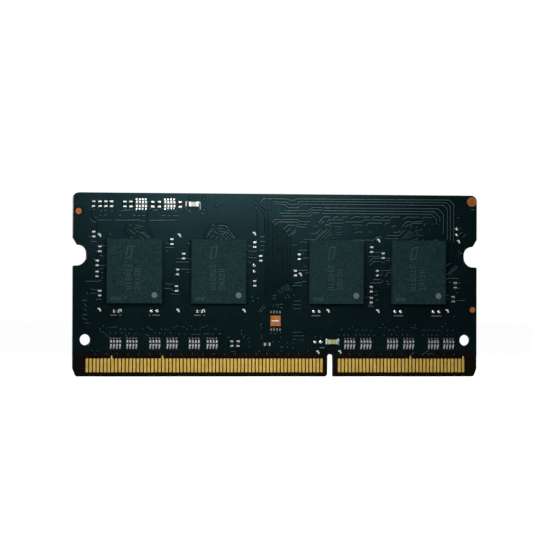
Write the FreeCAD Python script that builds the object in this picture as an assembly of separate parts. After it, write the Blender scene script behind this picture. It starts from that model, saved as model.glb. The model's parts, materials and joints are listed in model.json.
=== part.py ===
"""A small-outline memory module with 204 edge contacts, as separate solids, one STEP file per node.

The board stands on its contact edge. X runs along its length, Z up from the contact edge and Y through
its thickness, so the front face looks towards -Y and the rear face towards +Y. The origin is the middle
of the contact edge, in the middle of the board's thickness. Places on a face are written from the
board's left end, as the front face shows it, and moved to the origin when a node is saved. Millimetres.
"""

import FreeCAD, Part
import math
import os

V = FreeCAD.Vector

# Board
LENGTH = 67.6
HEIGHT = 30.0
THICKNESS = 1.0
FILM = 0.03  # thickness of the solder mask, and of the copper lands in its openings
TOP_CORNER = 1.0
EDGE_CHAMFER = (0.5, 1.25)  # along the contact edge, and up the short side
EDGE_CHAMFER_R = 0.5
MASK_START = 3.2  # the mask stops here, above the contacts

# Latch notches in the two short sides
NOTCH_DEPTH = 2.22
NOTCH_LOW = 18.08
NOTCH_HIGH = 21.45
NOTCH_LOW_R = 1.6
NOTCH_HIGH_R = 1.35
NOTCH_MOUTH_R = 0.25
NOTCH_LIP = (0.72, 22.62)  # depth where the flare starts, and height where it meets the side
NOTCH_LIP_R = 0.2

# Key slot in the contact edge
KEY_X = 42.8
KEY_WIDTH = 1.0
KEY_TOP = 3.65
KEY_TOP_R = 0.35
KEY_MOUTH_R = (0.5, 0.2)

# Tooling holes
HOLE_R = 0.9
HOLE_Z = 6.0
HOLE_INSET = 2.0

# Edge contacts
CONTACT_PITCH = 0.6
CONTACT_WIDTH = 0.42
CONTACT_BOTTOM = 0.7
CONTACT_TOP = 2.95
CONTACT_COPPER = 0.035
CONTACT_CORNER = 0.1
LONG_ROW = (2.3, 66)  # centre of the first contact, and how many
SHORT_ROW = (44.3, 36)

# Memory packages, each a moulded die on a substrate with solder balls
CHIP_X = (9.92, 23.9, 43.63, 57.54)
CHIP_Z = 17.2
CHIP_WIDTH = 9.0
CHIP_HEIGHT = 10.5
STANDOFF = 0.25
SUBSTRATE = 0.20
MOULD = 0.65
DIE = (6.6, 8.2, 0.2)
BOND_SLOT = (1.0, 9.0)
BOND_BEAD = (1.5, 9.4, 0.12)
PIN_MARK_R = 0.5
PIN_MARK_DEPTH = 0.04
PIN_MARK_INSET = (1.2, 1.35)  # from the package's side and from its lower end
BALL_R = 0.225
BALL_PITCH = 0.8
BALL_ROWS = 13
BALL_COLUMNS = (-3.2, -2.4, -1.6, 1.6, 2.4, 3.2)
BALL_LAND_R = 0.2

# Two-terminal parts: length, width, height, and length of each metal end
CAPACITOR = (1.0, 0.5, 0.5, 0.23)
RESISTOR = (1.0, 0.5, 0.35, 0.2)
BULK_CAPACITOR = (1.55, 0.75, 0.75, 0.28)
PLATING = 0.02
LAND_UNDER = 0.3
LAND_OUTSIDE = 0.12
FILLET_SHARE = 0.7  # how far up the metal end the solder climbs
FILLET_HOLLOW = 0.38  # where the fillet's middle lies, as a share of its height and reach; 0.5 is straight

# Four-element resistor arrays
ARRAY = (2.0, 1.0, 0.35)
ARRAY_ELEMENTS = 4
ARRAY_PITCH = 0.5
ARRAY_END = (0.24, 0.36)
ARRAY_LAND = (0.24, 0.62)
ARRAY_LAND_OUT = 0.62  # from the array's middle to the middle of a land
ARRAY_REACH = 0.22  # how far an array's solder runs out from its side
ARRAY_Z = 5.42

# Empty two-pad footprints, whose pads carry a dome of solder
DOME_R = 0.26
DOME_HEIGHT = 0.1
DOME_SPACING = 0.96

# Spare eight-pad footprint and the memory chip that holds the module's settings
SPARE_X = 33.58
SPARE_Z = 9.15
SPARE_PAD = (1.7, 1.7)
SPARE_LAND = (0.25, 0.45)
SPARE_ROW_LANDS = 4
SPARE_PITCH = 0.5
SPARE_ROW = 1.43
SPARE_SOLDER = (1.3, 0.28, 0.09)
EEPROM = (3.0, 2.0, 0.75)

# Places on the front face, from the left end and from the contact edge
FRONT_TOP_Z = 28.15
FRONT_TOP_CAPACITORS_X = (3.25, 4.3, 5.25, 6.2, 8.4, 9.4, 13.0, 14.1, 17.55)
FRONT_TOP_ARRAYS_X = (11.15, 15.85)
FRONT_ARRAYS_X = (6.95, 9.65, 13.45, 16.3, 20.0, 22.95, 46.0, 48.75, 53.25, 56.0, 60.2, 62.8)
FRONT_CAPACITORS = (
    [(3.3, 23.2), (4.3, 20.8), (3.85, 18.5), (3.85, 16.7), (4.3, 13.6)]
    + [(16.2, 22.05), (18.15, 19.7), (17.15, 17.1), (17.0, 14.4)]
    + [(30.0, 21.65), (31.0, 19.4), (30.0, 15.3), (37.45, 19.7), (36.8, 17.0)]
    + [(49.65, 20.95), (51.6, 19.95), (50.6, 17.05), (49.6, 14.4), (49.6, 12.6)]
    + [(63.85, 15.1), (63.5, 12.8), (26.2, 5.4), (27.25, 5.4)]
)
FRONT_RESISTORS = [(7.05, 10.65), (20.85, 10.65), (32.15, 5.3)]
FRONT_EMPTY_ACROSS = [(13.4, 10.75), (40.45, 10.75), (54.2, 10.75), (60.7, 10.75), (40.7, 5.72)]
FRONT_EMPTY_UPRIGHT = [(30.0, 17.8), (64.25, 24.0)]
PALE_CAPACITOR = (19.75, 28.2)
OLIVE_CAPACITOR = (43.1, 5.7)
FRONT_FIDUCIALS = [(0.85, 26.95, 0.5, 0.75), (66.75, 28.95, 0.8, 0.8), (66.9, 11.05, 0.48, 0.55)]

# Places on the rear face, measured the same way
REAR_ARRAYS_X = FRONT_ARRAYS_X
REAR_TOP_Z = 27.6
REAR_TOP_CAPACITORS_X = (7.0, 9.0, 11.0, 21.5, 23.5, 25.5, 41.5, 43.5, 45.5, 55.5, 57.5, 59.5)
REAR_COLUMN_OFFSET = 6.1  # from a package's middle to the capacitors beside it
REAR_COLUMN_Z = (13.4, 16.2, 19.0, 21.8)
REAR_RESISTORS = [(10.05, 10.4), (24.1, 10.4), (43.85, 10.4), (57.75, 10.4), (29.6, 5.4), (31.4, 5.4)]
REAR_FIDUCIALS = [(1.3, 28.4, 0.5, 0.8), (66.3, 28.4, 0.5, 0.8)]

FRONT = -1
REAR = 1
SURFACE = THICKNESS / 2
CORE = SURFACE - FILM


def along_z(x, z):
    """A two-terminal part that stands upright at x, z."""
    return (x, z, 0)


def along_x(x, z):
    """A two-terminal part that lies across at x, z."""
    return (x, z, 1)


def rounded_wire(corners):
    """A closed wire in the plane y = 0 through corners (x, z, radius), each rounded by its radius."""
    arcs = []
    for i, (x, z, radius) in enumerate(corners):
        here = V(x, 0, z)
        before = V(corners[i - 1][0], 0, corners[i - 1][1])
        after = V(corners[(i + 1) % len(corners)][0], 0, corners[(i + 1) % len(corners)][1])
        back = (before - here).normalize()
        ahead = (after - here).normalize()
        if radius == 0:
            arcs.append((here, None, here))
            continue
        half = back.getAngle(ahead) / 2
        reach = radius / math.tan(half)
        depth = radius / math.sin(half) - radius
        middle = here + (back + ahead).normalize() * depth
        arcs.append((here + back * reach, middle, here + ahead * reach))
    edges = []
    for i, (start, middle, end) in enumerate(arcs):
        if middle is not None:
            edges.append(Part.Arc(start, middle, end).toShape())
        following = arcs[(i + 1) % len(arcs)][0]
        if end.distanceToPoint(following) > 1e-6:
            edges.append(Part.makeLine(end, following))
    return Part.Wire(edges)


def rectangle(x, z, width, height):
    """A rectangular wire in the plane y = 0, centred at x, z."""
    right = width / 2
    top = height / 2
    low = [(x - right, z - top, 0), (x + right, z - top, 0)]
    high = [(x + right, z + top, 0), (x - right, z + top, 0)]
    return rounded_wire(low + high)


def circle(x, z, radius):
    """A round wire in the plane y = 0."""
    return Part.Wire(Part.makeCircle(radius, V(x, 0, z), V(0, 1, 0)))


def sheet(side, wires, low, high):
    """The area inside the first wire and outside the others, from low to high above the middle plane."""
    face = Part.makeFace(wires, "Part::FaceMakerBullseye")
    face.translate(V(0, side * low, 0))
    return face.extrude(V(0, side * (high - low), 0))


def block(width, height, low, high, x=0, z=0):
    """A block centred at x, z whose thickness runs from low to high along +Y."""
    return Part.makeBox(width, high - low, height, V(x - width / 2, low, z - height / 2))


def placed(shape, side, x, z, quarter_turns=0):
    """A copy of a shape that stands on the plane y = 0 towards +Y, moved to one face of the board."""
    copy = shape.copy()
    copy.rotate(V(0, 0, 0), V(0, 1, 0), 90 * quarter_turns)
    if side == FRONT:
        copy.rotate(V(0, 0, 0), V(0, 0, 1), 180)
    copy.translate(V(x, side * SURFACE, z))
    return copy


def upper_outline():
    """Corners of the board above the contact area, from the right side round to the left side."""
    depth, lip = NOTCH_LIP
    left = [
        (0, lip, NOTCH_LIP_R),
        (depth, NOTCH_HIGH, NOTCH_LIP_R),
        (NOTCH_DEPTH, NOTCH_HIGH, NOTCH_HIGH_R),
        (NOTCH_DEPTH, NOTCH_LOW, NOTCH_LOW_R),
        (0, NOTCH_LOW, NOTCH_MOUTH_R),
    ]
    right = [(LENGTH - x, z, radius) for x, z, radius in reversed(left)]
    return right + [(LENGTH, HEIGHT, TOP_CORNER), (0, HEIGHT, TOP_CORNER)] + left


def key_slot(bottom, mouth):
    """Corners of the key slot, cut from the height of its open end."""
    low = KEY_X - KEY_WIDTH / 2
    high = KEY_X + KEY_WIDTH / 2
    rising = [(low, bottom, mouth[0]), (low, KEY_TOP, KEY_TOP_R)]
    falling = [(high, KEY_TOP, KEY_TOP_R), (high, bottom, mouth[1])]
    return rising + falling


def board_wire():
    """The whole board's outline."""
    along, up = EDGE_CHAMFER
    left = [(0, up, EDGE_CHAMFER_R), (along, 0, EDGE_CHAMFER_R)]
    right = [(LENGTH - along, 0, EDGE_CHAMFER_R), (LENGTH, up, EDGE_CHAMFER_R)]
    return rounded_wire(left + key_slot(0, KEY_MOUTH_R) + right + upper_outline())


def mask_wire():
    """The outline of the solder mask, which leaves the contact area bare."""
    low = [(0, MASK_START, 0)] + key_slot(MASK_START, (0, 0)) + [(LENGTH, MASK_START, 0)]
    return rounded_wire(low + upper_outline())


def tooling_holes():
    return [circle(x, HOLE_Z, HOLE_R) for x in (HOLE_INSET, LENGTH - HOLE_INSET)]


def laminate():
    """The glass-fibre core, with its notches, key slot and tooling holes."""
    return sheet(REAR, [board_wire()] + tooling_holes(), -CORE, CORE)


def contacts(side, row):
    """One row of edge contacts, lying on the bare laminate."""
    first, count = row
    solids = []
    for i in range(count):
        low = first + i * CONTACT_PITCH - CONTACT_WIDTH / 2
        high = low + CONTACT_WIDTH
        corners = [(low, CONTACT_BOTTOM), (high, CONTACT_BOTTOM), (high, CONTACT_TOP), (low, CONTACT_TOP)]
        wire = rounded_wire([(x, z, CONTACT_CORNER) for x, z in corners])
        solids.append(sheet(side, [wire], CORE, CORE + CONTACT_COPPER))
    return solids


def ball_grid():
    """Places of the solder balls under one package, from its middle."""
    span = (BALL_ROWS - 1) * BALL_PITCH
    return [(x, row * BALL_PITCH - span / 2) for x in BALL_COLUMNS for row in range(BALL_ROWS)]


def package_balls():
    """Solder balls, flattened where they meet the board and the substrate."""
    flat = math.degrees(math.asin(STANDOFF / 2 / BALL_R))
    ball = Part.makeSphere(BALL_R, V(0, STANDOFF / 2, 0), V(0, 1, 0), -flat, flat, 360)
    solids = []
    for x, z in ball_grid():
        copy = ball.copy()
        copy.translate(V(x, 0, z))
        solids.append(copy)
    return Part.makeCompound(solids)


def package_substrate():
    """The package's own small circuit board, with a slot for the bond wires."""
    plate = block(CHIP_WIDTH, CHIP_HEIGHT, STANDOFF, STANDOFF + SUBSTRATE)
    slot = block(*BOND_SLOT, STANDOFF, STANDOFF + SUBSTRATE)
    return plate.cut(slot)


def package_die():
    """The silicon die, face down on the substrate."""
    width, height, depth = DIE
    low = STANDOFF + SUBSTRATE
    return block(width, height, low, low + depth)


def package_mould():
    """Moulding compound over the die, through the bond slot and in a bead under it."""
    base = STANDOFF + SUBSTRATE
    top = base + MOULD
    width, height, depth = BOND_BEAD
    cap = block(CHIP_WIDTH, CHIP_HEIGHT, base, top).cut(package_die())
    stem = block(*BOND_SLOT, STANDOFF, base)
    bead = block(width, height, STANDOFF - depth, STANDOFF)
    inset_x, inset_z = PIN_MARK_INSET
    mark_at = V(inset_x - CHIP_WIDTH / 2, top - PIN_MARK_DEPTH, inset_z - CHIP_HEIGHT / 2)
    mark = Part.makeCylinder(PIN_MARK_R, PIN_MARK_DEPTH, mark_at, V(0, 1, 0))
    return cap.fuse([stem, bead]).removeSplitter().cut(mark)


def two_terminal_part(size):
    """A chip part's body and its two metal ends, standing upright."""
    length, width, height, band = size
    body = block(width - 2 * PLATING, length - 2 * PLATING, PLATING, height - PLATING)
    ends = []
    for direction in (-1, 1):
        cap = block(width, band, 0, height, 0, direction * (length - band) / 2)
        ends.append(cap.cut(body))
    return body, Part.makeCompound(ends)


def solder_fillet(width, height, reach):
    """A concave wedge of solder that climbs a wall at z = 0 and runs out to z = reach."""
    foot = V(-width / 2, 0, reach)
    corner = V(-width / 2, 0, 0)
    top = V(-width / 2, height, 0)
    middle = V(-width / 2, height * FILLET_HOLLOW, reach * FILLET_HOLLOW)
    edges = [Part.makeLine(corner, foot), Part.Arc(foot, middle, top).toShape(), Part.makeLine(top, corner)]
    return Part.Face(Part.Wire(edges)).extrude(V(width, 0, 0))


def fillet_pair(size):
    """Solder at both metal ends of an upright two-terminal part."""
    length, width, height, _ = size
    up = solder_fillet(width - 2 * PLATING, height * FILLET_SHARE, LAND_OUTSIDE)
    down = up.copy()
    up.translate(V(0, 0, length / 2))
    down.rotate(V(0, 0, 0), V(0, 1, 0), 180)
    down.translate(V(0, 0, -length / 2))
    return Part.makeCompound([up, down])


def array_ends():
    """Places of an array's eight metal ends: x, and which long side."""
    span = (ARRAY_ELEMENTS - 1) * ARRAY_PITCH
    steps = [i * ARRAY_PITCH - span / 2 for i in range(ARRAY_ELEMENTS)]
    return [(step, direction) for direction in (-1, 1) for step in steps]


def array_part():
    """A resistor array's body, its eight metal ends and their solder."""
    length, width, height = ARRAY
    end_width, end_depth = ARRAY_END
    core = block(length, width - 2 * PLATING, PLATING, height - PLATING)
    ends = []
    solder = []
    for x, direction in array_ends():
        end = block(end_width, end_depth, 0, height, x, direction * (width - end_depth) / 2)
        ends.append(end.cut(core))
        fillet = solder_fillet(end_width - 2 * PLATING, height * FILLET_SHARE, ARRAY_REACH)
        if direction < 0:
            fillet.rotate(V(0, 0, 0), V(0, 1, 0), 180)
        fillet.translate(V(x, 0, direction * width / 2))
        solder.append(fillet)
    return core, Part.makeCompound(ends), Part.makeCompound(solder)


def solder_dome():
    """A cap of solder on an empty pad."""
    radius = (DOME_R**2 + DOME_HEIGHT**2) / (2 * DOME_HEIGHT)
    edge = math.degrees(math.asin((radius - DOME_HEIGHT) / radius))
    return Part.makeSphere(radius, V(0, DOME_HEIGHT - radius, 0), V(0, 1, 0), edge, 90, 360)


def solder_bar():
    """The bar of solder printed across the spare footprint's pad."""
    length, width, height = SPARE_SOLDER
    left = V(-length / 2, 0, -width / 2)
    top = V(-length / 2, height, 0)
    right = V(-length / 2, 0, width / 2)
    edges = [Part.Arc(left, top, right).toShape(), Part.makeLine(right, left)]
    return Part.Face(Part.Wire(edges)).extrude(V(length, 0, 0))


def spare_lands(x, z):
    """Wires of the eight small lands of the spare footprint."""
    width, height = SPARE_LAND
    first = x - (SPARE_ROW_LANDS - 1) * SPARE_PITCH / 2
    places = [first + i * SPARE_PITCH for i in range(SPARE_ROW_LANDS)]
    rows = (z - SPARE_ROW, z + SPARE_ROW)
    return [rectangle(place, row, width, height) for row in rows for place in places]


def part_lands(places, size):
    """Wires of the two lands of each two-terminal part."""
    length, width, _, _ = size
    reach = LAND_UNDER + LAND_OUTSIDE
    middle = length / 2 + (LAND_OUTSIDE - LAND_UNDER) / 2
    wires = []
    for x, z, turned in places:
        for direction in (-1, 1):
            if turned:
                wires.append(rectangle(x + direction * middle, z, reach, width))
            else:
                wires.append(rectangle(x, z + direction * middle, width, reach))
    return wires


def array_lands(places):
    """Wires of the eight lands of each resistor array."""
    wires = []
    for x, z in places:
        for along, direction in array_ends():
            wires.append(rectangle(x + along, z + direction * ARRAY_LAND_OUT, *ARRAY_LAND))
    return wires


def ball_lands():
    """Wires of the round lands under the four packages of one face."""
    return [circle(chip + x, CHIP_Z + z, BALL_LAND_R) for chip in CHIP_X for x, z in ball_grid()]


def dome_places():
    """Places of the pads of the empty two-pad footprints."""
    half = DOME_SPACING / 2
    across = [(x + step, z) for x, z in FRONT_EMPTY_ACROSS for step in (-half, half)]
    upright = [(x, z + step) for x, z in FRONT_EMPTY_UPRIGHT for step in (-half, half)]
    return across + upright


def front_capacitors():
    top = [along_z(x, FRONT_TOP_Z) for x in FRONT_TOP_CAPACITORS_X]
    return top + [along_z(x, z) for x, z in FRONT_CAPACITORS]


def front_arrays():
    top = [(x, FRONT_TOP_Z) for x in FRONT_TOP_ARRAYS_X]
    return top + [(x, ARRAY_Z) for x in FRONT_ARRAYS_X]


def rear_capacitors():
    top = [along_z(x, REAR_TOP_Z) for x in REAR_TOP_CAPACITORS_X]
    columns = [chip + step for chip in CHIP_X for step in (-REAR_COLUMN_OFFSET, REAR_COLUMN_OFFSET)]
    return top + [along_z(x, z) for x in columns for z in REAR_COLUMN_Z]


def rear_arrays():
    return [(x, ARRAY_Z) for x in REAR_ARRAYS_X]


def save(name, solids):
    """Writes one node, moved so that the middle of the contact edge is the origin."""
    node = Part.makeCompound(solids if isinstance(solids, list) else [solids])
    node.translate(V(-LENGTH / 2, 0, 0))
    broken = [solid for solid in node.Solids if not solid.isValid()]
    if broken or not node.Solids:
        raise ValueError(name + " has a bad solid")
    node.exportStep("parts/" + name + ".step")
    print(name, len(node.Solids), round(node.Volume, 3))


def save_film(side, name, lands, bare):
    """Writes one face's solder mask and its lands. Bare areas are its other openings."""
    openings = lands + bare + tooling_holes()
    save(name + "_solder_mask", sheet(side, [mask_wire()] + openings, CORE, SURFACE))
    save(name + "_solder_lands", [sheet(side, [wire], CORE, SURFACE) for wire in lands])


def save_contacts(side, name):
    save(name + "_long_contacts", contacts(side, LONG_ROW))
    save(name + "_short_contacts", contacts(side, SHORT_ROW))


def save_packages(side, name):
    """Writes four memory packages, each as a mould, die, substrate and balls."""
    pieces = {
        "mould": package_mould(),
        "die": package_die(),
        "substrate": package_substrate(),
        "balls": package_balls(),
    }
    for number, x in enumerate(CHIP_X, 1):
        for piece, shape in pieces.items():
            save(f"{name}_dram_{number}_{piece}", placed(shape, side, x, CHIP_Z))


def save_chip_parts(side, name, capacitors, resistors, arrays, extra_terminals, extra_solder):
    """Writes one face's capacitors, resistors and arrays, with their metal ends and solder."""
    capacitor, capacitor_ends = two_terminal_part(CAPACITOR)
    resistor, resistor_ends = two_terminal_part(RESISTOR)
    array, array_metal, array_solder = array_part()
    save(name + "_capacitor_bodies", [placed(capacitor, side, *place) for place in capacitors])
    save(name + "_resistor_bodies", [placed(resistor, side, *place) for place in resistors])
    save(name + "_array_bodies", [placed(array, side, *place) for place in arrays])
    save(name + "_array_ends", [placed(array_metal, side, *place) for place in arrays])
    ends = [placed(capacitor_ends, side, *place) for place in capacitors]
    ends += [placed(resistor_ends, side, *place) for place in resistors]
    save(name + "_chip_ends", ends + extra_terminals)
    solder = [placed(fillet_pair(CAPACITOR), side, *place) for place in capacitors]
    solder += [placed(fillet_pair(RESISTOR), side, *place) for place in resistors]
    solder += [placed(array_solder, side, *place) for place in arrays]
    save(name + "_solder_joints", solder + extra_solder)


def fiducials(side, places):
    return [sheet(side, [circle(x, z, radius)], CORE, SURFACE) for x, z, radius, _ in places]


def front_face():
    """Everything on the front face, which holds the spare footprint."""
    capacitors = front_capacitors()
    resistors = [along_x(x, z) for x, z in FRONT_RESISTORS]
    bulk = [along_x(*PALE_CAPACITOR), along_x(*OLIVE_CAPACITOR)]
    arrays = front_arrays()
    domes = dome_places()
    lands = ball_lands() + part_lands(capacitors, CAPACITOR) + part_lands(resistors, RESISTOR)
    lands += part_lands(bulk, BULK_CAPACITOR) + array_lands(arrays)
    lands += [circle(x, z, DOME_R) for x, z in domes]
    lands += spare_lands(SPARE_X, SPARE_Z)
    pad = rectangle(SPARE_X, SPARE_Z, *SPARE_PAD)
    bare = [circle(x, z, opening) for x, z, _, opening in FRONT_FIDUCIALS] + [pad]
    save_film(FRONT, "front", lands, bare)
    save("front_fiducials", fiducials(FRONT, FRONT_FIDUCIALS))
    save("spare_footprint_pad", sheet(FRONT, [pad], CORE, SURFACE))
    save("spare_footprint_solder", placed(solder_bar(), FRONT, SPARE_X, SPARE_Z))
    save_contacts(FRONT, "front")
    save_packages(FRONT, "front")
    body, ends = two_terminal_part(BULK_CAPACITOR)
    save("pale_capacitor_body", placed(body, FRONT, *bulk[0]))
    save("olive_capacitor_body", placed(body, FRONT, *bulk[1]))
    bulk_ends = [placed(ends, FRONT, *place) for place in bulk]
    bulk_solder = [placed(fillet_pair(BULK_CAPACITOR), FRONT, *place) for place in bulk]
    dome_solder = [placed(solder_dome(), FRONT, x, z) for x, z in domes]
    save_chip_parts(FRONT, "front", capacitors, resistors, arrays, bulk_ends, bulk_solder + dome_solder)


def rear_face():
    """Everything on the rear face, which holds the settings memory."""
    capacitors = rear_capacitors()
    resistors = [along_x(x, z) for x, z in REAR_RESISTORS]
    arrays = rear_arrays()
    lands = ball_lands() + part_lands(capacitors, CAPACITOR) + part_lands(resistors, RESISTOR)
    lands += array_lands(arrays) + spare_lands(SPARE_X, SPARE_Z)
    bare = [circle(x, z, opening) for x, z, _, opening in REAR_FIDUCIALS]
    save_film(REAR, "rear", lands, bare)
    save("rear_fiducials", fiducials(REAR, REAR_FIDUCIALS))
    save_contacts(REAR, "rear")
    save_packages(REAR, "rear")
    length, width, height = EEPROM
    body = block(width, length, 0, height)
    save("settings_memory_body", placed(body, REAR, SPARE_X, SPARE_Z))
    save_chip_parts(REAR, "rear", capacitors, resistors, arrays, [], [])


os.makedirs("parts", exist_ok=True)
save("board_laminate", laminate())
front_face()
rear_face()
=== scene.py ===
"""Looks for a small-outline memory module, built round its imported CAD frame.

Places on the board are millimetres from its left end (x) and from its contact edge (z), as the front face
shows them. board_point() turns them into metres in the frame. A route is written "x,z x,z", with a semicolon
between one route and the next.
"""

import json
import math
import random

import bpy
from mathutils import Euler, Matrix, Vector


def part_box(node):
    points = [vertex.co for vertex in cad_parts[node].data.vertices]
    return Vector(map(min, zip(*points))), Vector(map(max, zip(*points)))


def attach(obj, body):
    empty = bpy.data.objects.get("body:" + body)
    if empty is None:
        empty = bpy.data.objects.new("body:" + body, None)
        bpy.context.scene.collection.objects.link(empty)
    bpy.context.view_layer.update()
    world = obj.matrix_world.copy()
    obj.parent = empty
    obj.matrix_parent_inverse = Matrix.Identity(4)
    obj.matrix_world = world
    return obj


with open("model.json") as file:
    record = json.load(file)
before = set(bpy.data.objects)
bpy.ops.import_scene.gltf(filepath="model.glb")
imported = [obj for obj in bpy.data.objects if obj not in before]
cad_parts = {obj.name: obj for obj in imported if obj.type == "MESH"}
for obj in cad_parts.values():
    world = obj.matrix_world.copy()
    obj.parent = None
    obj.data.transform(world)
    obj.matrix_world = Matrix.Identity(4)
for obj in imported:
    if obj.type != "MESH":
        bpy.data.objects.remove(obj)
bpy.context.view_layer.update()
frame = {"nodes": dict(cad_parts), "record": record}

MM = 0.001
FRONT = -1
REAR = 1
BOARD_LOW, BOARD_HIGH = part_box("board_laminate")
FACE_Y = {FRONT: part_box("front_solder_mask")[0].y, REAR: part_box("rear_solder_mask")[1].y}
SIDE_NAME = {FRONT: "front", REAR: "rear"}
DRAM_NUMBERS = range(1, 5)

# Width and height of the raised lines
TRACE = (0.17, 0.022)
FINE_TRACE = (0.13, 0.018)
POUR_GAP = (0.14, 0.004)
GAP_MARGIN = 0.22  # how much wider than its line a gap in the copper is
INK = (0.17, 0.014)
CORNER_INK = (0.24, 0.014)
UNDERLINE_INK = (0.16, 0.014)
BRACKET_INK = (0.18, 0.014)
CONTACT_TAIL = (0.26, 0.012)
LASER = (0.08, 0.006)
CONTACT_BAND = (1.03, 0.002)
LINE_SLOPE = 0.2  # the widest that a line's sloping side may be, as a share of the line's width
SHARPEST_BEND = 0.5  # keeps the outer corner of a sharp bend short
SINK = 0.006  # how far a raised piece starts under the surface that it lies on
HAIR = 0.00003  # how much higher each line of a piece lies than the line before it

# Profiles of the round pieces: radius and height above the mask, from the foot up
VIA_GAP = [(0.34, -SINK), (0.34, 0.003), (0.30, 0.004)]
VIA_CAP = [(0.21, -SINK), (0.20, 0.014), (0.13, 0.022), (0.06, 0.016)]
SMALL_VIA_GAP = [(0.24, -SINK), (0.24, 0.003), (0.21, 0.004)]
SMALL_VIA = [(0.14, -SINK), (0.13, 0.014), (0.08, 0.020), (0.04, 0.015)]
PIN_DISC = [(0.49, -0.044), (0.48, -0.012), (0.42, -0.008)]
PIN_DISC_INSET = (1.2, 1.35)  # from the package's side and from its lower end

# Photographed view
VIEW_DISTANCE = 650.0
VIEW_YAW = 11.16
VIEW_PITCH = 0.65
VIEW_ROLL = -0.17
VIEW_FIELD = 87.62
VIEW_AIM = (-1.66, 3.07)  # from the board's middle, along X and Z
SENSOR = 36.0

# Wiring on the front face
BUS = (
    "31.0,28.6 31.5,29.2 35.4,29.2 35.9,29.0 36.7,29.0 37.1,29.22 62.9,29.22 63.65,28.5 63.65,22.4; "
    "33.1,28.7 35.3,28.7 36.0,28.24 37.1,28.24 37.6,28.82 62.4,28.82 63.08,28.2 63.08,22.6; "
    "33.4,28.35 35.0,28.3 35.7,27.75 37.3,27.75 37.9,28.36 61.9,28.36 62.6,27.7 62.6,22.6; "
    "35.1,27.28 39.1,27.28 39.65,27.83 41.3,27.83; 41.7,27.77 61.0,27.77 61.9,26.9 61.9,23.6; "
    "34.2,26.84 39.2,26.84 39.75,27.4 41.4,27.4; 41.7,27.3 60.3,27.3 61.3,26.3 61.3,25.7; "
    "34.6,26.4 39.3,26.4 39.85,26.95 41.0,26.95; 41.3,26.86 59.8,26.86 60.7,26.0 60.7,25.2; "
    "33.0,25.35 33.45,25.8 37.2,25.8 37.6,25.5 39.3,25.5; "
    "33.4,24.95 33.85,25.4 37.1,25.4 37.5,25.05 38.9,25.05; "
    "34.8,24.15 35.6,24.88 37.1,24.9 37.5,24.6 38.5,24.6"
)
STEPS = (
    "40.8,25.3 41.6,26.3 42.8,26.3; 43.2,26.1 43.5,26.3 44.2,26.3; 44.5,26.1 44.8,26.3 45.6,26.3; "
    "46.2,26.0 46.8,26.35 48.0,26.35; 48.2,26.15 48.6,26.35 49.5,26.35; "
    "49.8,26.15 50.3,26.38 51.2,26.38; 51.4,26.15 51.9,26.38 52.6,26.38; "
    "52.8,26.15 53.3,26.35 54.5,26.35; 55.1,26.0 55.7,26.35 57.8,26.35; "
    "58.2,26.15 58.6,26.38 59.9,26.3; 42.2,25.5 42.7,25.82 45.0,25.82; "
    "45.2,25.48 48.0,25.48 48.5,25.84 52.8,25.82; 41.8,24.9 42.4,25.0 42.8,25.28 45.0,25.28; "
    "48.8,24.95 49.2,25.33 51.4,25.33; 51.8,25.0 52.2,25.35 52.8,25.4; 46.4,24.98 48.2,24.98; "
    "39.8,24.78 40.6,24.78; 53.1,24.65 53.4,24.86 53.9,24.86; 41.2,25.2 41.7,25.65; "
    "54.9,24.8 55.6,25.55 56.4,25.6; 56.5,25.5 58.5,25.72; 56.1,25.0 56.6,25.3 58.3,25.32; "
    "55.4,24.75 56.0,25.05; 39.5,23.5 40.3,23.5 41.2,24.3; 38.2,22.5 40.1,22.5 41.6,24.0; "
    "37.6,22.1 39.1,22.1; 36.3,21.62 37.1,21.62; 46.8,23.65 47.2,23.84 48.2,23.84; "
    "46.9,24.45 47.4,24.5; 49.2,23.85 49.7,23.85; 46.6,22.5 50.0,22.5 50.6,23.0 51.5,23.05; "
    "52.2,23.28 54.4,23.28 55.2,24.1; 53.4,23.8 54.2,23.8 54.6,24.1; 52.0,22.78 54.3,22.78; "
    "58.6,25.0 59.0,25.35; 60.3,22.35 60.6,22.6 61.1,22.6; 35.3,23.7 36.0,24.3; 35.8,23.1 36.9,24.2; "
    "36.4,23.3 37.0,23.9"
)
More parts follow.
